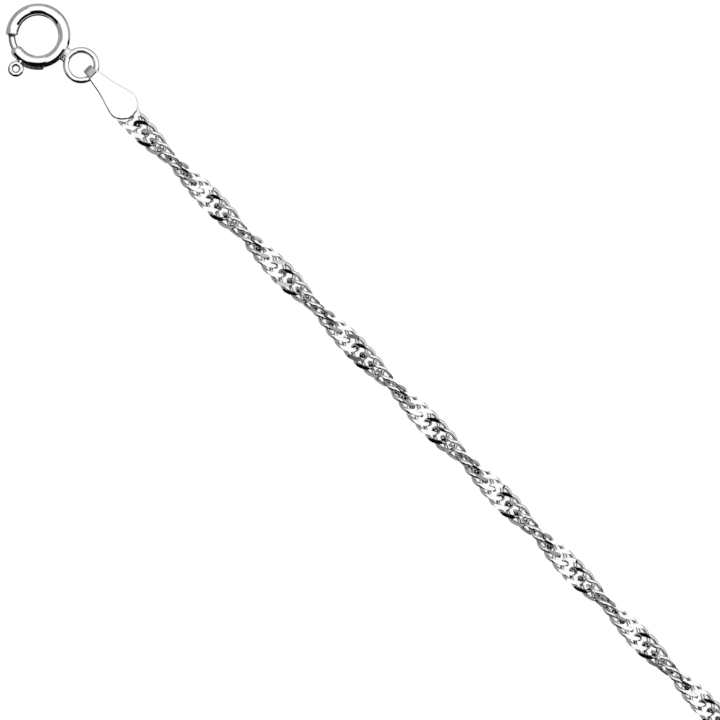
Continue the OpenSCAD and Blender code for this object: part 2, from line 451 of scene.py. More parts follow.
@dataclass(frozen=True)
class LinkShape:
    """One double curb link: an oval of round wire whose four strokes have flat cut faces.

    The link's own X runs along the chain and Z to its front. The centre line is the same from
    the front and the back, and after half a turn about any of its three axes.

    Attributes:
        wire: Diameter of the wire.
        half_length: From the link's middle to the wire's centre line at an end.
        half_width: From the middle to the centre line at a crown.
        pinch: How much the strokes are straightened: 0 leaves an ellipse.
        rise: Height of the strokes' centre line over the link's middle plane.
        hold: How flat the strokes stay at that height.
        cut_height: From a stroke's centre line to its flat face.
        cut_tilt: Lean of the flat faces about the chain, in degrees.
        stroke_tilt: Lean of the strokes themselves, in degrees.
        steps: Rings of vertices along one stroke.
        side_steps: Vertices from one flat face to the other around the wire.
        widest: How far around the wire it stays round at most, in degrees.
        deepest: Lowest a cut may reach, as a share of the wire's radius under its middle.
    """

    wire: float = 0.385 * MM
    half_length: float = 1.30 * MM
    half_width: float = 0.935 * MM
    pinch: float = 0.04
    rise: float = 0.26 * MM
    hold: float = 0.3
    cut_height: float = 0.045 * MM
    cut_tilt: float = 16.0
    stroke_tilt: float = 16.0
    steps: int = 12
    side_steps: int = 7
    widest: float = 80.0
    deepest: float = 0.6

    def centre_line(self) -> tuple[np.ndarray, np.ndarray]:
        """Draws the closed centre line, from the left end over the upper crown.

        Returns:
            Points, one row each, and +1 where a stroke is on the front or -1 on the back.
        """
        turn = np.arange(4 * self.steps) * math.pi / 2 / self.steps
        height = np.tanh(self.hold * np.sin(2 * turn)) / math.tanh(self.hold)
        length_way = (np.cos(turn) + self.pinch * np.cos(3 * turn)) / (1 + self.pinch)
        side_way = (np.sin(turn) - self.pinch * np.sin(3 * turn)) / (1 + self.pinch)
        side = self.half_width * side_way
        end = -self.half_length * length_way
        stroke_middle = self.half_width * math.sqrt(0.5) * (1 - self.pinch) / (1 + self.pinch)
        off_middle = side - np.sign(side) * stroke_middle
        lean = math.tan(math.radians(self.stroke_tilt)) * off_middle * height ** 2
        line = np.column_stack([end, side, self.rise * height + lean])
        return line, np.repeat([1.0, -1.0, 1.0, -1.0], self.steps)

    def surface(self) -> tuple[np.ndarray, np.ndarray]:
        """Builds the wire's surface with its flat faces.

        Returns:
            Vertices shaped rings by corners by three, and whether each ring's front and back
            faces are cut, shaped rings by two.
        """
        line, sides = self.centre_line()
        lean = math.radians(self.cut_tilt)
        face_way = np.array([0.0, -math.sin(lean), math.cos(lean)])
        along = np.roll(line, -1, axis=0) - np.roll(line, 1, axis=0)
        along /= np.linalg.norm(along, axis=1)[:, None]
        up = face_way - (along @ face_way)[:, None] * along
        steep = np.linalg.norm(up, axis=1)
        up /= steep[:, None]
        across = np.cross(along, up)
        radius = self.wire / 2
        widest = math.radians(self.widest)
        rings, cuts = [], []
        for ring in range(len(line)):
            stroke = line[ring // self.steps * self.steps + self.steps // 2]
            side = sides[ring]
            room = self.cut_height + side * (stroke - line[ring]) @ face_way
            reach = math.asin(np.clip(room / radius / steep[ring], -self.deepest, 1.0))
            top = min(reach, widest) if side > 0 else widest
            bottom = widest if side > 0 else min(reach, widest)
            angles = np.linspace(-bottom, top, self.side_steps)
            angles = np.concatenate([angles, math.pi - angles[::-1]])
            rings.append(line[ring] + radius * (np.cos(angles)[:, None] * across[ring]
                                                + np.sin(angles)[:, None] * up[ring]))
            cuts.append((top < widest, bottom < widest))
        return np.array(rings), np.array(cuts)


@dataclass(frozen=True)
class Route:
    """Where the chain lies: one loop with two straights and two round ends.

    Attributes:
        start: Where the first link's centre lies along X, on the upper straight.
        stop: Where the last link's centre lies along X, on the same straight.
        tag_level: Height of the chain's centre at the tags.
        bend_x: Where the round ends begin, on both sides of the middle.
        radius: Radius of the round ends.
        level: Height of the chain's centre.
        held: Length inside a tag before the chain begins to climb.
        climb: Length over which it goes from one height to the other.
    """

    start: float
    stop: float
    tag_level: float
    bend_x: float = 55.31 * MM
    radius: float = 38.0 * MM
    level: float = 1.13 * MM
    held: float = 1.4 * MM
    climb: float = 4.6 * MM

    @property
    def length(self) -> float:
        """Gives the route's length."""
        return 4 * self.bend_x + 2 * math.pi * self.radius - self.start + self.stop

    def place(self, travelled: float) -> tuple[np.ndarray, float]:
        """Finds a place on the route.

        Args:
            travelled: Distance along the route.

        Returns:
            The point, and the heading in radians counterclockwise from +X.
        """
        first, bend = self.bend_x - self.start, math.pi * self.radius
        straight = 2 * self.bend_x
        from_end = min(travelled, self.length - travelled)
        rise = float(smooth(np.array((from_end - self.held) / self.climb)))
        height = self.tag_level + (self.level - self.tag_level) * rise
        if travelled < first:
            return np.array([self.start + travelled, self.radius, height]), 0.0
        travelled -= first
        if travelled < bend:
            turn = travelled / self.radius
            return np.array([self.bend_x + self.radius * math.sin(turn),
                             self.radius * math.cos(turn), height]), -turn
        travelled -= bend
        if travelled < straight:
            return np.array([self.bend_x - travelled, -self.radius, height]), -math.pi
        travelled -= straight
        if travelled < bend:
            turn = travelled / self.radius
            return np.array([-self.bend_x - self.radius * math.sin(turn),
                             -self.radius * math.cos(turn), height]), -math.pi - turn
        travelled -= bend
        return np.array([-self.bend_x + travelled, self.radius, height]), -2 * math.pi


@dataclass
class SingaporeChain:
    """The chain: links along the route, each turned a little more than the last.

    Attributes:
        route: Where the chain lies.
        clasp_x: Where the clasp's centre lies along X.
        link: Shape of one link.
        pitch: Distance from link to link.
        flat_places: From the clasp's centre to each place where the visible chain lies flat.
        half_turn: Length of half a turn past the last of those places.
        neighbours: How many links to each side are looked at for the painted shade between links.
        crevice_reach: How far from the wire its distance to a neighbour is measured, for that
            painted shade.
        crevice_from: Distance to a neighbour at which the painted shade begins.
        crevice_to: Distance at which the painted shade is darkest.
        turn_play: Spread of each link's turn, in degrees.
        shift_play: Spread of each link's place.
        pressed: How flat the tags press the links inside them.
        pressed_links: Number of links inside each tag.
        pieces: Number of joined meshes that the links are shared out to.
        sharp: Angle above which an edge of the links stays crisp, in degrees.
    """

    route: Route
    clasp_x: float
    link: LinkShape = LinkShape()
    pitch: float = 1.0698 * MM
    flat_places: tuple[float, ...] = tuple(
        x * MM for x in (12.6, 22.1, 31.55, 41.25, 51.4, 60.7, 70.0, 79.1, 87.8)
    )
    half_turn: float = 9.54 * MM
    neighbours: int = 2
    crevice_reach: float = 0.12 * MM
    crevice_from: float = 0.25 * MM
    crevice_to: float = 0.08 * MM
    turn_play: float = 2.0
    shift_play: float = 0.012 * MM
    pressed: float = 0.75
    pressed_links: int = 2
    pieces: int = 4
    sharp: float = 28.0

    def _turn(self, travelled: float) -> float:
        """Gives the twist at a distance along the route, in radians.

        Args:
            travelled: Distance along the route.

        Returns:
            The angle about the chain's own line.
        """
        known = np.array(self.flat_places) + self.clasp_x - self.route.start
        last = self.route.length - known[0]
        halves = round((last - known[-1]) / self.half_turn)
        places = np.append(known, last)
        turns = np.append(np.arange(len(known)), len(known) - 1 + halves) * math.pi
        return float(np.interp(travelled, places, turns))

    def _painted_crevice_shade(self, surface: np.ndarray) -> np.ndarray:
        """Tells how deep each vertex of a link lies between its neighbours, which sets how dark its
        painted shade is.

        Args:
            surface: The link's vertices.

        Returns:
            From 0 to 1 for each vertex.
        """
        line, _ = self.link.centre_line()
        outward = surface - line[:, None]
        outward /= np.linalg.norm(outward, axis=2)[:, :, None]
        probes = (surface + self.crevice_reach * outward).reshape(-1, 3)
        nearest = np.full(len(probes), np.inf)
        for step in (*range(-self.neighbours, 0), *range(1, self.neighbours + 1)):
            turn = Matrix.Rotation(math.pi * self.pitch / self.half_turn * step, 3, "X")
            other = line @ np.array(turn).T + (self.pitch * step, 0.0, 0.0)
            away = np.linalg.norm(probes[:, None] - other[None], axis=2).min(axis=1)
            nearest = np.minimum(nearest, away - self.link.wire / 2)
        return smooth((self.crevice_from - nearest) / (self.crevice_from - self.crevice_to))

    def build(self) -> list[bpy.types.Object]:
        """Builds the links as a few joined meshes.

        Returns:
            The pieces, from the clasp on.
        """
        chance = np.random.default_rng(SEED)
        surface, cuts = self.link.surface()
        rings, corners = surface.shape[:2]
        # Painted shade: vertices deep between neighbouring links are darkened in colour
        shade_and_speck_shares = self._painted_crevice_shade(surface)
        faces = grid_faces(rings, corners, True, True)
        slots = np.zeros((rings, corners), int)
        ring_cut = cuts & np.roll(cuts, -1, axis=0)
        slots[:, self.link.side_steps - 1] = ring_cut[:, 0]
        slots[:, -1] = ring_cut[:, 1]
        count = round(self.route.length / self.pitch)
        made = []
        for batch in np.array_split(np.arange(count + 1), self.pieces):
            parts = MeshParts()
            for number in batch:
                travelled = self.route.length * number / count
                play = chance.normal(0.0, 1.0, 2)
                point, heading = self.route.place(travelled)
                turn = self._turn(travelled) + math.radians(self.turn_play) * float(play[0])
                pose = Matrix.Rotation(heading, 3, "Z") @ Matrix.Rotation(turn, 3, "X")
                forward = np.array([math.cos(heading), math.sin(heading), 0.0])
                squash = self.pressed if min(number, count - number) < self.pressed_links else 1.0
                moved = (surface.reshape(-1, 3) * (1.0, 1.0, squash)) @ np.array(pose).T + point
                moved += forward * self.shift_play * play[1]
                parts.add(moved, faces, slots.ravel(), shade_and_speck_shares)
            piece = parts.build(f"chain_links_{len(made) + 1}", [DRAWN_WIRE, CUT_FACE], self.sharp)
            publish(piece, Body.NECKLACE, Slot.CUT, "chain")
            made.append(piece)
        return made


@dataclass(frozen=True)
class SpringRing:
    """The clasp's bent tube and the small ring soldered to it.

    Angles are counterclockwise from +X about the clasp's centre, in degrees. The tube runs from
    its domed end counterclockwise round to its plain cut end.

    Attributes:
        centre: Middle of the clasp.
        radius: From there to the middle of the tube.
        tube: Outer radius of the tube.
        bore: Inner radius of the tube.
        chamfer: Width of the broken edges.
        cut_round: Radius of the plain end's outer edge.
        dome_at: Angle where the domed end begins.
        cut_at: Angle of the plain end.
        slot_from: Angle where the slot begins.
        slot_to: Angle where the slot ends.
        slot_low: Height of the slot's lower lip over the middle of the tube.
        slot_high: Height of its upper lip.
        slot_start: From the middle of the tube outwards to where the slot begins.
        flare: How far the lower lip is pressed outwards past the trigger.
        flare_drop: How far it goes down there.
        flare_from: Angle where that begins.
        flare_ease: Angle over which it comes in and goes out.
        flare_turn: Angle around the tube where the pressed lip begins.
        flare_width: Angle around the tube over which it reaches its full size.
        flare_inside: How much of it the inner wall takes up.
        seam: Angle around the tube, from straight out, where the closed section starts.
        mouth_from: Angle round the plain end's outer edge where its rows begin.
        attach_at: Angle of the soldered ring.
        attach_reach: From the clasp's centre to that ring's.
        attach_radius: Radius of its wire's centre line.
        wire: Diameter of its wire.
        solder_root: Where the solder begins in the tube, as a share of the tube's radius.
        solder_wide: Half width of the solder at its waist.
        solder_spread: How much wider it is to each side at both ends.
        solder_high: Half height of the solder at its waist.
        solder_climb: How much higher it is at the tube.
        solder_fall: How much less of that there is at the ring.
        solder_hollow: How sharply its flanks curve in.
        specks_from: Where a random number from 0 to 1 begins to leave a dark speck.
        specks_blur: How much more of it makes the speck fully dark.
        specks_side: How far to the side the specks end.
        specks_fade: Width over which they thin out there.
        specks_stop: Share of the way to the ring where they end.
        specks_thin: Share of the way over which they thin out there.
        columns: Vertices around the tube.
        slot_rows: Sections along the slot.
        full_rows: Sections from the slot to the plain end.
        dome_rows: Rows over the domed end.
        end_rows: Rows between the dome and the slot, and round the plain end's edge.
        solder_rows: Sections of the solder.
    """

    centre: np.ndarray
    radius: float = 2.425 * MM
    tube: float = 0.575 * MM
    bore: float = 0.405 * MM
    chamfer: float = 0.03 * MM
    cut_round: float = 0.17 * MM
    dome_at: float = 263.7
    cut_at: float = 224.5
    slot_from: float = 273.2
    slot_to: float = 327.0
    slot_low: float = -0.05 * MM
    slot_high: float = 0.45 * MM
    slot_start: float = 0.14 * MM
    flare: float = 0.15 * MM
    flare_drop: float = 0.22 * MM
    flare_from: float = 284.5
    flare_ease: float = 4.0
    flare_turn: float = 280.0
    flare_width: float = 75.0
    flare_inside: float = 0.2
    seam: float = 22.0
    mouth_from: float = 12.0
    attach_at: float = 11.3
    attach_reach: float = 4.83 * MM
    attach_radius: float = 1.41 * MM
    wire: float = 0.56 * MM
    solder_root: float = 0.4
    solder_wide: float = 0.66 * MM
    solder_spread: float = 0.42 * MM
    solder_high: float = 0.20 * MM
    solder_climb: float = 0.12 * MM
    solder_fall: float = 0.06 * MM
    solder_hollow: float = 0.8
    specks_from: float = 0.3
    specks_blur: float = 0.3
    specks_side: float = 0.2 * MM
    specks_fade: float = 0.5 * MM
    specks_stop: float = 0.9
    specks_thin: float = 0.4
    columns: int = 44
    slot_rows: int = 40
    full_rows: int = 110
    dome_rows: int = 8
    end_rows: int = 6
    solder_rows: int = 15

    def place(self, degrees: float, out: np.ndarray, up: np.ndarray) -> np.ndarray:
        """Gives the points of a section that lie this far outwards and up from its middle."""
        way = polar(1.0, degrees)
        return (self.centre + (self.radius + np.asarray(out))[:, None] * way
                + np.asarray(up)[:, None] * (0.0, 0.0, 1.0))

    def _opening(self, degrees: float) -> float:
        """Tells how far the slot, which has round ends, is open at an angle.

        Args:
            degrees: Angle of the section.

        Returns:
            From 0 where the tube is closed to 1 where the slot has its full height.
        """
        round_end = math.degrees((self.slot_high - self.slot_low) / 2 / (self.radius + self.tube))
        inside = min(degrees - self.slot_from, self.slot_to - degrees) / round_end
        return math.sqrt(max(0.0, 1.0 - (1.0 - min(max(inside, 0.0), 1.0)) ** 2))

    def _flared(self, degrees: float, turn: np.ndarray) -> np.ndarray:
        """Tells how much each point of a section belongs to the lip that is pressed outwards.

        Args:
            degrees: Angle of the section.
            turn: Angle of each point around the tube.

        Returns:
            From 0 to 1 for each point.
        """
        inside = min(degrees - self.flare_from, self.slot_to - degrees)
        along = float(smooth(np.array(inside / self.flare_ease)))
        return along * smooth((turn - self.flare_turn) / self.flare_width)

    def _section(self, degrees: float) -> tuple[np.ndarray, np.ndarray, np.ndarray]:
        """Draws the tube's section at an angle, open at the slot.

        Args:
            degrees: Angle of the section.

        Returns:
            The outer wall's points, the inner wall's and the slot's upper lip's, from wall to
            wall.
        """
        opening = self._opening(degrees)
        shares = np.linspace(0.0, 1.0, self.columns)
        walls = []
        for size, top in ((self.tube, math.degrees(math.asin(self.slot_high / self.tube))),
                          (self.bore, math.degrees(math.acos(self.slot_start / self.bore)))):
            low = math.degrees(math.asin(self.slot_low / size))
            first = self.seam + (top - self.seam) * opening
            last = 360.0 + self.seam + (low - self.seam) * opening
            turn = first + (last - first) * shares
            flared = self._flared(degrees, turn)
            if size == self.bore:
                flared = flared * self.flare_inside
            walls.append((size * np.cos(np.radians(turn)) + self.flare * flared,
                          size * np.sin(np.radians(turn)) - self.flare_drop * flared))
        (outer, outer_up), (inner, inner_up) = walls
        edge = self.chamfer * opening
        lip_out = np.array([outer[0] - edge, inner[0] + edge, inner[0]])
        lip_up = np.array([outer_up[0], outer_up[0], outer_up[0] - edge])
        return (self.place(degrees, outer, outer_up), self.place(degrees, inner, inner_up),
                self.place(degrees, lip_out, lip_up))

    def _angles(self) -> tuple[np.ndarray, slice]:
        """Spaces the tube's sections out from the domed end to the plain one.

        Returns:
            Their angles, and which of them are at the slot.
        """
        share = 0.5 - 0.5 * np.cos(np.linspace(0.0, 1.0, self.slot_rows) * math.pi)
        slot = self.slot_from + (self.slot_to - self.slot_from) * share
        last = self.cut_at + 360.0 - math.degrees(self.cut_round / self.radius)
        full = np.linspace(self.slot_to, last, self.full_rows)[1:]
        before = np.linspace(self.dome_at, self.slot_from, self.end_rows)[:-1]
        return np.concatenate([before, slot, full]), slice(len(before), len(before) + len(slot))

    def _circle(self, degrees: float, size: float) -> np.ndarray:
        """Draws a whole round section of this radius."""
        turn = np.radians(self.seam + np.linspace(0.0, 360.0, self.columns))
        return self.place(degrees, size * np.cos(turn), size * np.sin(turn))

    def _dome(self) -> list[np.ndarray]:
        """Draws the domed end, from the outer wall to the bore.

        Returns:
            Its rows of points, the last of them inside the bore's mouth.
        """
        rows = []
        reach = math.acos((self.bore + self.chamfer) / self.tube)
        for lean in np.linspace(0.0, reach, self.dome_rows)[1:]:
            back = math.degrees(math.asin(self.tube * math.sin(lean) / self.radius))
            rows.append(self._circle(self.dome_at - back, self.tube * math.cos(lean)))
        tip = self.dome_at - math.degrees(self.tube * math.sin(reach) / self.radius)
        rows.append(self._circle(tip - math.degrees(self.chamfer / self.radius), self.bore))
        return rows

    def _cut_end(self) -> list[np.ndarray]:
        """Draws the plain cut end, from the outer wall to the bore.

        Returns:
            Its rows of points.
        """
        rows = []
        for bend in np.radians(np.linspace(self.mouth_from, 90.0, self.end_rows)):
            size = self.tube - self.cut_round * (1 - math.cos(bend))
            past = math.degrees(self.cut_round * (math.sin(bend) - 1) / self.radius)
            rows.append(self._circle(self.cut_at + past, size))
        rows.append(self._circle(self.cut_at, self.bore + self.chamfer))
        return rows

    def _tube(self, parts: MeshParts) -> None:
        """Adds the tube: outer wall, domed end, bore, cut end and slot.

        Args:
            parts: The mesh that it goes into.
        """
        angles, opened = self._angles()
        outer, inner, lips = (np.array(rows) for rows in zip(*[self._section(a) for a in angles]))
        rows = np.array([*outer, *self._cut_end(), *inner[::-1], *self._dome()[::-1]])
        parts.add(rows, grid_faces(len(rows), self.columns, True, False))
        upper = np.concatenate([outer[opened, :1], lips[opened], inner[opened, :1]], axis=1)
        lower = np.stack([outer[opened, -1], inner[opened, -1]], axis=1)
        for lip in (upper, lower):
            parts.add(lip, grid_faces(len(lip), lip.shape[1], False, False), 1)

    def _specks(self, aside: np.ndarray, share: np.ndarray) -> np.ndarray:
        """Scatters dark specks over the solder, on the trigger's side and near the tube.

        Args:
            aside: How far each vertex is to the side, shaped sections by corners.
            share: How far each section is on the way to the ring, from 0 to 1.

        Returns:
            From 0 to 1 for each vertex.
        """
        chance = np.random.default_rng(SEED).random(aside.shape)
        specks = smooth((chance - self.specks_from) / self.specks_blur)
        specks = specks * smooth((self.specks_side - aside) / self.specks_fade)
        return (specks * smooth((self.specks_stop - share) / self.specks_thin)[:, None]).ravel()

    def _attachment(self, parts: MeshParts) -> None:
        """Adds the soldered ring and the solder's hollow flanks.

        Args:
            parts: The mesh that they go into.
        """
        way, across = polar(1.0, self.attach_at), polar(1.0, self.attach_at + 90.0)
        parts.add(*wire_ring(self.centre + self.attach_reach * way, self.attach_radius, self.wire))
        near = self.radius + self.tube * self.solder_root
        far = self.attach_reach - self.attach_radius
        share = np.linspace(0.0, 1.0, self.solder_rows)
        waist = 1.0 - np.sin(share * math.pi) ** self.solder_hollow
        wide = self.solder_wide + self.solder_spread * waist
        high = self.solder_high + (self.solder_climb - self.solder_fall * share) * waist
        centres = self.centre + (near + (far - near) * share)[:, None] * way
        points, faces = swept(centres, wide[:, None] * across, high[:, None] * (0.0, 0.0, 1.0))
        aside = (points - self.centre) @ across
        past_ring = self.attach_radius - np.sqrt(self.attach_radius ** 2 - aside ** 2)
        past_tube = self.radius - np.sqrt(self.radius ** 2 - aside ** 2)
        shift = share[:, None] * past_ring - (1.0 - share[:, None]) * past_tube
        parts.add(points + shift[..., None] * way, faces, 2, self._specks(aside, share))

    def build(self) -> bpy.types.Object:
        """Builds the piece for the node clasp_ring.

        Returns:
            The piece.
        """
        parts = MeshParts()
        self._tube(parts)
        self._attachment(parts)
        piece = parts.build("spring_ring", [BUFFED, RAW, SOLDER])
        publish(piece, Body.NECKLACE, Slot.POLISHED, "clasp_ring")
        return piece


@dataclass(frozen=True)
class TriggerBolt:
    """The bolt inside the tube and the trigger's eye outside it.

    Attributes:
        centre: Middle of the clasp.
        radius: From there to the middle of the tube.
        wire: Radius of the bolt.
        tip_at: Angle of the bolt's tip, counterclockwise from +X.
        tail_at: Angle of its other end.
        eye_at: Angle of the trigger.
        rise: Height of the trigger over the middle of the tube.
        stem: Radius of the stem at the eye.
        stem_root: How much wider it is to each side at the tube.
        eye_reach: From the clasp's centre to the eye's.
        eye_radius: Radius of the eye's centre line.
        eye_wire: Diameter of the eye's wire.
        side_shade_from: Share of the bolt's half width where the painted dark reflections on its
            sides begin.
        hole_from: Share of the eye's half wire where the painted shade inside its hole begins.
        rim_at: Angle of the middle of the eye's dark outer rim, a painted shade.
        fade: Share of the half width over which each of them comes in.
        seat_at: Angle at which the closed bolt enters the tube's plain end, where its painted
            shadow line lies.
        seat_width: Half the angle of that painted shadow line, which fades out over as much again.
        hole_shade: How dark the painted shade inside the eye's hole is.
        rim_spread: Cosine of the angle from the rim's middle up to which it is fully dark.
        nose: Share of the bolt's half length over which each end is rounded.
        rows: Sections of the bolt.
        corners: Vertices around the bolt.
        stem_rows: Sections of the stem.
        stem_corners: Vertices around the stem.
        eye_rows: Sections around the eye.
        eye_corners: Vertices around its wire.
    """

    centre: np.ndarray
    radius: float = 2.425 * MM
    wire: float = 0.315 * MM
    tip_at: float = 219.5
    tail_at: float = 292.0
    eye_at: float = 282.1
    rise: float = 0.2 * MM
    stem: float = 0.14 * MM
    stem_root: float = 0.2 * MM
    eye_reach: float = 3.6925 * MM
    eye_radius: float = 0.50 * MM
    eye_wire: float = 0.46 * MM
    side_shade_from: float = 0.55
    hole_from: float = 0.45
    rim_at: float = 285.0
    fade: float = 0.2
    seat_at: float = 225.5
    seat_width: float = 2.1
    hole_shade: float = 0.8
    rim_spread: float = 0.6
    nose: float = 0.06
    rows: int = 61
    corners: int = 28
    stem_rows: int = 13
    stem_corners: int = 20
    eye_rows: int = 64
    eye_corners: int = 24

    def _painted_shade_ramp(self, places: int, past: np.ndarray) -> np.ndarray:
        """Darkens each section's corners with painted shade by how far past its start they are."""
        return np.tile(smooth(past / self.fade), (places, 1))

    def _bolt(self, parts: MeshParts) -> None:
        """Adds the bent bolt, with painted dark reflections at its sides and a painted shadow line
        where it enters the tube.

        Args:
            parts: The mesh that it goes into.
        """
        share = np.linspace(-1.0, 1.0, self.rows)
        angles = (self.tip_at + self.tail_at) / 2 + (self.tail_at - self.tip_at) / 2 * share
        past = (np.abs(share) - (1.0 - self.nose)) / self.nose
        sizes = (self.wire * np.sqrt(1.0 - np.clip(past, 0.0, 1.0) ** 3))[:, None]
        ways = np.array([polar(1.0, angle) for angle in angles])
        aside = np.abs(np.cos(np.arange(self.corners) * 2 * math.pi / self.corners))
        # Painted shade: dark reflections on the bolt's sides, and a shadow line where it enters the
        # tube's plain end
        seat = smooth(2.0 - np.abs(angles - self.seat_at) / self.seat_width)
        dark = np.maximum(self._painted_shade_ramp(self.rows, aside - self.side_shade_from), seat[:, None])
        ups = sizes * (0.0, 0.0, 1.0)
        points, faces = swept(self.centre + self.radius * ways, sizes * ways, ups, self.corners)
        parts.add(points, faces, 0, dark.ravel())

    def _trigger(self, parts: MeshParts) -> None:
        """Adds the stem and the eye, with painted shade inside its hole and at its outer rim.

        Args:
            parts: The mesh that they go into.
        """
        lift = self.centre + (0.0, 0.0, self.rise)
        way, across = polar(1.0, self.eye_at), polar(1.0, self.eye_at + 90.0)
        share = np.linspace(0.0, 1.0, self.stem_rows)[:, None]
        reach = self.radius + share * (self.eye_reach - self.eye_radius - self.radius)
        wide = self.stem + self.stem_root * (1.0 - share) ** 2
        ups = np.full_like(share, self.stem) * (0.0, 0.0, 1.0)
        parts.add(*swept(lift + reach * way, wide * across, ups, self.stem_corners))
        inward = -np.cos(np.arange(self.eye_corners) * 2 * math.pi / self.eye_corners)
        # Painted shade inside the eye's hole and on its lower outer rim
        hole = self.hole_shade * self._painted_shade_ramp(self.eye_rows, inward - self.hole_from)
        turn = np.radians(360.0 * np.arange(self.eye_rows) / self.eye_rows - self.rim_at)
        rim = smooth(np.cos(turn) / self.rim_spread)[:, None]
        rim = rim * smooth((-inward - self.hole_from) / self.fade)
        middle = lift + self.eye_reach * way
        eye = wire_ring(middle, self.eye_radius, self.eye_wire, self.eye_rows, self.eye_corners)
        parts.add(*eye, 0, np.maximum(hole, rim).ravel())

    def build(self) -> bpy.types.Object:
        """Builds the piece for the node clasp_bolt.

        Returns:
            The piece.
        """
        parts = MeshParts()
        self._bolt(parts)
        self._trigger(parts)
        piece = parts.build("trigger_bolt", [PAINTED_SHADE_SILVER])
        publish(piece, Body.BOLT, Slot.POLISHED, "clasp_bolt")
        return piece


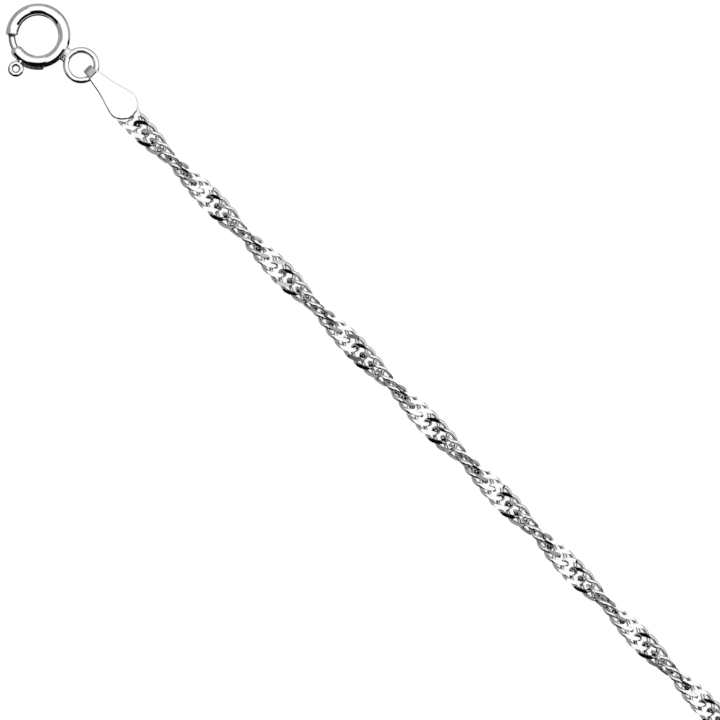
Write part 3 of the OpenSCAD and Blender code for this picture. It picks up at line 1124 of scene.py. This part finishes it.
@dataclass(frozen=True)
class FoldedTag:
    """A strip of sheet folded over a ring, with two round-ended leaves.

    The tag's own X runs from the outside of its fold to the leaves' ends.

    Attributes:
        fold: Place of the fold's outside.
        facing: +1 where the leaves point along +X and -1 where they point back.
        node: Node that the piece replaces.
        sheet: Thickness of the sheet.
        gap: Space between the two leaves.
        length: Overall length.
        leaf: Radius of a leaf's round end.
        shoulder_at: From the fold to where the leaf begins.
        shoulder: Half width there.
        strap: Half width of the strap.
        hollow: How far the leaf's sides curve in.
        edge: Width of the sheet's rounded edges.
        edge_drop: Height of those edges.
        margin: From the outline to the face's own border, in widths of the rounded edge.
        bunch: How much closer the outline's points lie at the tip of the round end.
        sharp: Angle above which an edge of the sheet stays crisp, in degrees.
        columns: Vertices across the sheet's face.
        end_rows: Points along half the leaf's round end.
        side_rows: Points along its side, with the round end's last.
        corner_rows: Points around the shoulder's corner, with the side's last.
        edge_rows: Steps around the sheet's rounded edge.
        fold_rows: Sections around a quarter of the fold, with the strap's last.
        bare_rows: Rows of polished faces on each leaf. The strap between them is satin, with a
            painted shade in its darker colour.
    """

    fold: np.ndarray
    facing: float
    node: str
    sheet: float = 0.25 * MM
    gap: float = 0.62 * MM
    length: float = 6.18 * MM
    leaf: float = 1.43 * MM
    shoulder_at: float = 0.83 * MM
    shoulder: float = 0.55 * MM
    strap: float = 0.475 * MM
    hollow: float = 0.09 * MM
    edge: float = 0.2 * MM
    edge_drop: float = 0.11 * MM
    margin: float = 1.2
    bunch: float = 1.3
    sharp: float = 50.0
    columns: int = 9
    end_rows: int = 30
    side_rows: int = 14
    corner_rows: int = 5
    edge_rows: int = 11
    fold_rows: int = 13
    bare_rows: int = 44

    def _outline(self) -> np.ndarray:
        """Draws one side of a leaf's outline, from its round end to the strap.

        Returns:
            Points, one row each.
        """
        middle = self.length - self.leaf
        back = self.shoulder_at - middle
        touch = math.atan2(self.shoulder, back)
        touch -= math.acos(self.leaf / math.hypot(back, self.shoulder))
        turn = np.linspace(0.0, 1.0, self.end_rows) ** self.bunch * touch
        round_end = np.column_stack([middle + self.leaf * np.cos(turn), self.leaf * np.sin(turn)])
        share = np.linspace(0.0, 1.0, self.side_rows)[1:, None]
        side = round_end[-1] + share * (np.array([self.shoulder_at, self.shoulder]) - round_end[-1])
        side[:, 1] -= self.hollow * np.sin(share[:, 0] * math.pi) ** 2
        drop = np.linspace(0.0, math.pi / 2, self.corner_rows)[1:, None]
        step = self.shoulder - self.strap
        corner = (self.shoulder_at - step * np.sin(drop), self.shoulder - step * (1 - np.cos(drop)))
        strap = [[self.gap / 2 + self.sheet, self.strap]]
        return np.vstack([round_end, side, np.hstack(corner), strap])

    def _ring(self, point: np.ndarray, way: np.ndarray) -> np.ndarray:
        """Draws the sheet's section at a point of the outline, across the leaf.

        Args:
            point: The point, on one side of the leaf.
            way: Outward direction there.

        Returns:
            Points around the section, one row each.
        """
        inset = point - way * self.edge
        near = point - way * self.edge * self.margin
        half = self.sheet / 2 - self.edge_drop
        turns = np.radians(np.linspace(90.0, -90.0, self.edge_rows))
        side = [
            (*(inset + way * self.edge * math.cos(turn)),
             math.sin(turn) * self.edge_drop + math.copysign(half, turn))
            for turn in np.delete(turns, self.edge_rows // 2)
        ]
        face = np.linspace(-1.0, 1.0, self.columns)
        top = [(near[0], near[1] * share, self.sheet / 2) for share in face]
        bottom = [(x, y, -z) for x, y, z in top[::-1]]
        return np.array(top + side + bottom + [(x, -y, z) for x, y, z in side[::-1]])

    def _rows(self) -> np.ndarray:
        """Draws the sheet's section along one leaf and half the fold.

        Returns:
            Vertices shaped rows by corners by three, of the upper leaf.
        """
        outline = self._outline()
        along = np.gradient(outline, axis=0)
        along /= np.linalg.norm(along, axis=1)[:, None]
        out = np.column_stack([along[:, 1], -along[:, 0]])
        out[0] = (1.0, 0.0)
        lift = (0.0, 0.0, (self.gap + self.sheet) / 2)
        rows = [self._ring(point, way) + lift for point, way in zip(outline, out)]
        strap_end = rows[-1]
        bend = self.gap / 2 + self.sheet
        for turn in np.radians(np.linspace(0.0, 90.0, self.fold_rows)[1:]):
            ring = strap_end.copy()
            ring[:, 0] = bend - strap_end[:, 2] * math.sin(turn)
            ring[:, 2] = strap_end[:, 2] * math.cos(turn)
            rows.append(ring)
        return np.array(rows)

    def build(self) -> bpy.types.Object:
        """Builds the piece for the tag's node.

        Returns:
            The piece.
        """
        upper = self._rows()
        lower = (upper * (1.0, 1.0, -1.0))[::-1][1:]
        rows = np.concatenate([upper, lower]) * (self.facing, self.facing, 1.0) + self.fold
        parts = MeshParts()
        faces = grid_faces(len(rows), rows.shape[1], False, True)
        slots = np.zeros(faces.shape[:2], int)
        slots[self.bare_rows:-self.bare_rows] = 1
        parts.add(rows, faces, slots.ravel())
        name = self.node.replace("_tag", "_folded_tag")
        piece = parts.build(name, [BUFFED, SATIN_AND_SHADE], self.sharp)
        publish(piece, Body.NECKLACE, Slot.POLISHED, self.node)
        return piece


@dataclass(frozen=True)
class EndRing:
    """The plain closed ring at the necklace's far end.

    Attributes:
        centre: Middle of the ring.
        radius: Radius of the wire's centre line.
        wire: Diameter of the wire.
        rows: Sections around the ring.
    """

    centre: np.ndarray
    radius: float = 1.72 * MM
    wire: float = 0.56 * MM
    rows: int = 112

    def build(self) -> bpy.types.Object:
        """Builds the piece for the node end_ring.

        Returns:
            The piece.
        """
        parts = MeshParts()
        parts.add(*wire_ring(self.centre, self.radius, self.wire, self.rows))
        piece = parts.build("closed_end_ring", [BUFFED])
        publish(piece, Body.NECKLACE, Slot.POLISHED, "end_ring")
        return piece


@dataclass(frozen=True)
class Card:
    """A soft-edged card on the dome that the metal mirrors.

    Attributes:
        colour: Brightness of the card, neutral.
        azimuth: Its middle in the picture, in degrees counterclockwise from right.
        half_width: From the middle to either edge, in degrees.
        low: Elevation of its lower edge, in degrees.
        high: Elevation of its upper edge.
        side_blur: Width of the soft edges at its sides.
        end_blur: Width of the soft upper and lower edges.
    """

    colour: float
    azimuth: float
    half_width: float
    low: float
    high: float
    side_blur: float = 8.0
    end_blur: float = 8.0


CARDS = (
    Card(0.365, 0.0, 190.0, -65.0, -10.0, 1.0, 8.0),
    Card(0.36, 33.0, 45.0, -65.0, 6.0, 3.0, 14.0),
    Card(0.40, 85.0, 35.0, -65.0, 24.0),
    Card(0.33, 138.0, 26.0, -65.0, 43.0),
    Card(0.33, 182.0, 24.0, -65.0, 64.0),
    Card(0.33, 222.0, 30.0, -65.0, 4.0, 2.0, 6.0),
    Card(BLACK, 344.0, 13.0, -65.0, 6.0),
    Card(BLACK, 287.0, 49.0, -65.0, 54.0, 3.0, 8.0),
    Card(BLACK, 222.0, 20.0, -2.0, 57.0, 3.0, 6.0),
    Card(BLACK, 244.0, 13.0, -65.0, 57.0, 3.0, 6.0),
    Card(BLACK, 60.0, 26.0, -65.0, -34.0, 3.0, 6.0),
    Card(BLACK, 260.0, 22.0, 30.0, 74.0, 3.0, 8.0),
)


@dataclass(frozen=True)
class Studio:
    """The floor, the camera over it and the soft light.

    Attributes:
        picture: Width of the picture, in pixels.
        scale: Pixels to a metre at the chain's height.
        clasp_pixel: Where the clasp's centre stands in the picture.
        chain_slope: How far the chain runs below the picture's horizontal, in degrees.
        lens: Focal length of the camera, in millimetres.
        sensor: Width of its sensor, in millimetres.
        near: Nearest distance that the camera sees.
        far: Farthest distance that it sees.
        floor_size: Width of the floor.
        floor_cells: Cells of the floor's mesh, along and across.
        table_colour: How much of the light that falls on it the light table gives back.
        table_roughness: Roughness of its surface.
        table_glow: Brightness of the light table itself.
        sky: Strength of the light from above.
        dome_size: Radius of the dome that the metal mirrors.
        dome_cells: Cells of its mesh, around and from pole to pole.
        mirrored_sky: Brightness of that dome outside its cards.
    """

    picture: int = 720
    scale: float = 10800.0
    clasp_pixel: tuple[float, float] = (38.1, 35.8)
    chain_slope: float = 45.64
    lens: float = 200.0
    sensor: float = 36.0
    near: float = 0.01
    far: float = 20.0
    floor_size: float = 6.0
    floor_cells: int = 8
    table_colour: float = 0.1
    table_roughness: float = 0.9
    table_glow: float = 0.94
    sky: float = 1.0
    dome_size: float = 4.0
    dome_cells: tuple[int, int] = (32, 16)
    mirrored_sky: float = 1.07

    def camera(self, clasp: np.ndarray) -> None:
        """Hangs the camera over the necklace, looking straight down.

        Args:
            clasp: The clasp's centre.
        """
        turn = math.radians(self.chain_slope)
        right = np.array([math.cos(turn), math.sin(turn), 0.0])
        up = np.array([-math.sin(turn), math.cos(turn), 0.0])
        half = self.picture / 2
        aim = (clasp + right * (half - self.clasp_pixel[0]) / self.scale
               - up * (half - self.clasp_pixel[1]) / self.scale)
        distance = self.picture / self.scale * self.lens / self.sensor
        lens = bpy.data.cameras.new("camera")
        lens.lens, lens.sensor_width = self.lens, self.sensor
        lens.clip_start, lens.clip_end = self.near, self.far
        camera = bpy.data.objects.new("camera", lens)
        bpy.context.scene.collection.objects.link(camera)
        camera.matrix_world = (Matrix.Translation(Vector(aim) + Vector((0, 0, distance)))
                               @ Matrix.Rotation(turn, 4, "Z"))
        bpy.context.scene.camera = camera

    def floor(self) -> None:
        """Lays the light table that the necklace rests on."""
        shape = bmesh.new()
        cells, half = self.floor_cells, self.floor_size / 2
        bmesh.ops.create_grid(shape, x_segments=cells, y_segments=cells, size=half)
        mesh = bpy.data.meshes.new("floor")
        shape.to_mesh(mesh)
        shape.free()
        floor = bpy.data.objects.new("floor", mesh)
        floor.visible_glossy = False
        bpy.context.scene.collection.objects.link(floor)
        paint = bpy.data.materials.new("light_table")
        paint.use_nodes = True
        shader = paint.node_tree.nodes["Principled BSDF"]
        shader.inputs["Base Color"].default_value = (*[self.table_colour] * 3, 1.0)
        shader.inputs["Roughness"].default_value = self.table_roughness
        shader.inputs["Specular IOR Level"].default_value = 0.0
        shader.inputs["Emission Color"].default_value = (1.0, 1.0, 1.0, 1.0)
        shader.inputs["Emission Strength"].default_value = self.table_glow
        mesh.materials.append(paint)

    def light(self) -> None:
        """Lights the floor evenly and sets up the dome that the metal mirrors."""
        world = bpy.data.worlds.new("soft_light")
        bpy.context.scene.world = world
        world.use_nodes = True
        back = world.node_tree.nodes["Background"]
        back.inputs["Color"].default_value = (1.0, 1.0, 1.0, 1.0)
        back.inputs["Strength"].default_value = self.sky
        view = bpy.context.scene.view_settings
        view.view_transform, view.look = "Standard", "None"
        self._dome()

    def _dome(self) -> None:
        """Builds the dome: a white sky, with the grey ground and the cards laid over it."""
        shape = bmesh.new()
        around, high = self.dome_cells
        bmesh.ops.create_uvsphere(
            shape, u_segments=around, v_segments=high, radius=self.dome_size
        )
        mesh = bpy.data.meshes.new("reflected_dome")
        shape.to_mesh(mesh)
        shape.free()
        dome = bpy.data.objects.new("reflected_dome", mesh)
        bpy.context.scene.collection.objects.link(dome)
        dome.visible_camera = dome.visible_diffuse = dome.visible_shadow = False
        dome.visible_transmission = dome.visible_volume_scatter = False
        paint = bpy.data.materials.new("reflected_cards")
        paint.use_nodes = True
        paint.cycles.emission_sampling = "NONE"
        tree = paint.node_tree
        tree.nodes.clear()
        colour = self._cards(tree)
        glow = tree.nodes.new("ShaderNodeEmission")
        tree.links.new(colour, glow.inputs["Color"])
        out = tree.nodes.new("ShaderNodeOutputMaterial")
        tree.links.new(glow.outputs["Emission"], out.inputs["Surface"])
        mesh.materials.append(paint)

    def _cards(self, tree: bpy.types.NodeTree) -> bpy.types.NodeSocket:
        """Lays the cards over the sky, each over the ones before it.

        Args:
            tree: The dome's nodes.

        Returns:
            The socket that gives the brightness.
        """
        place = tree.nodes.new("ShaderNodeNewGeometry").outputs["Position"]
        parts = tree.nodes.new("ShaderNodeSeparateXYZ")
        tree.links.new(place, parts.inputs["Vector"])
        level = self._vector_math(tree, "MULTIPLY", place, (1.0, 1.0, 0.0), "Vector")
        level = self._vector_math(tree, "NORMALIZE", level, None, "Vector")
        height = self._math(tree, "DIVIDE", parts.outputs["Z"], self.dome_size)
        elevation = self._math(tree, "ARCSINE", height, None)
        colour = None
        for card in CARDS:
            turn = math.radians(card.azimuth + self.chain_slope)
            middle = (math.cos(turn), math.sin(turn), 0.0)
            dot = self._vector_math(tree, "DOT_PRODUCT", level, middle, "Value")
            aside = self._math(tree, "ARCCOSINE", dot, None)
            cover = [
                self._edge(tree, aside, card.half_width, -card.side_blur),
                self._edge(tree, elevation, card.low, card.end_blur),
                self._edge(tree, elevation, card.high, -card.end_blur),
            ]
            share = self._math(tree, "MULTIPLY", *cover[:2])
            share = self._math(tree, "MULTIPLY", share, cover[2])
            mix = tree.nodes.new("ShaderNodeMix")
            mix.inputs["B"].default_value = card.colour
            tree.links.new(share, mix.inputs["Factor"])
            if colour:
                tree.links.new(colour, mix.inputs["A"])
            else:
                mix.inputs["A"].default_value = self.mirrored_sky
            colour = mix.outputs["Result"]
        return colour

    @staticmethod
    def _math(
        tree: bpy.types.NodeTree,
        operation: str,
        first: bpy.types.NodeSocket,
        second: bpy.types.NodeSocket | float | None,
    ) -> bpy.types.NodeSocket:
        """Adds one step of arithmetic.

        Args:
            tree: The dome's nodes.
            operation: The step's name.
            first: Socket that gives the first value.
            second: Socket or number for the second value, if the step takes one.

        Returns:
            The socket that gives the result.
        """
        node = tree.nodes.new("ShaderNodeMath")
        node.operation = operation
        tree.links.new(first, node.inputs[0])
        if isinstance(second, bpy.types.NodeSocket):
            tree.links.new(second, node.inputs[1])
        elif second is not None:
            node.inputs[1].default_value = second
        return node.outputs["Value"]

    @staticmethod
    def _vector_math(
        tree: bpy.types.NodeTree,
        operation: str,
        first: bpy.types.NodeSocket,
        second: tuple[float, float, float] | None,
        result: str,
    ) -> bpy.types.NodeSocket:
        """Adds one step of vector arithmetic.

        Args:
            tree: The dome's nodes.
            operation: The step's name.
            first: Socket that gives the first vector.
            second: The second vector, if the step takes one.
            result: Name of the result that is wanted.

        Returns:
            The socket that gives the result.
        """
        node = tree.nodes.new("ShaderNodeVectorMath")
        node.operation = operation
        tree.links.new(first, node.inputs[0])
        if second is not None:
            node.inputs[1].default_value = second
        return node.outputs[result]

    @staticmethod
    def _edge(
        tree: bpy.types.NodeTree, angle: bpy.types.NodeSocket, middle: float, blur: float
    ) -> bpy.types.NodeSocket:
        """Adds a soft edge.

        Args:
            tree: The dome's nodes.
            angle: Angle that the edge is drawn across, in radians.
            middle: Where the edge's middle lies, in degrees.
            blur: Its width in degrees, negative where the card lies below it.

        Returns:
            The socket that goes from 0 outside the card to 1 inside it.
        """
        node = tree.nodes.new("ShaderNodeMapRange")
        node.interpolation_type = "SMOOTHSTEP"
        node.inputs["From Min"].default_value = math.radians(middle - abs(blur) / 2)
        node.inputs["From Max"].default_value = math.radians(middle + abs(blur) / 2)
        node.inputs["To Min"].default_value = 0.0 if blur > 0 else 1.0
        node.inputs["To Max"].default_value = 1.0 if blur > 0 else 0.0
        tree.links.new(angle, node.inputs["Value"])
        return node.outputs["Result"]


def main() -> None:
    """Builds every piece in order and reports each."""
    logging.basicConfig(level=logging.INFO, format="%(name)s: %(message)s")
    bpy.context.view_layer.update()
    clasp = np.array(frame["joints"][0]["pos_m"])
    tag_low, tag_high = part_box("clasp_tag")
    end_low, end_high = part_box("end_tag")
    ring_low, ring_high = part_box("end_ring")
    studio = Studio()
    studio.camera(clasp)
    studio.floor()
    studio.light()
    route = Route(
        start=clasp[0] + FIRST_LINK,
        stop=end_low[0] + LAST_LINK,
        tag_level=(tag_low[2] + tag_high[2]) / 2,
    )
    near_fold = np.array([tag_low[0], (tag_low[1] + tag_high[1]) / 2, clasp[2]])
    far_fold = np.array([end_high[0], (end_low[1] + end_high[1]) / 2, clasp[2]])
    SpringRing(clasp).build()
    TriggerBolt(clasp).build()
    FoldedTag(near_fold, 1.0, "clasp_tag").build()
    FoldedTag(far_fold, -1.0, "end_tag").build()
    SingaporeChain(route, clasp[0]).build()
    EndRing((np.array(ring_low) + np.array(ring_high)) / 2).build()


if __name__ == "__main__":
    main()
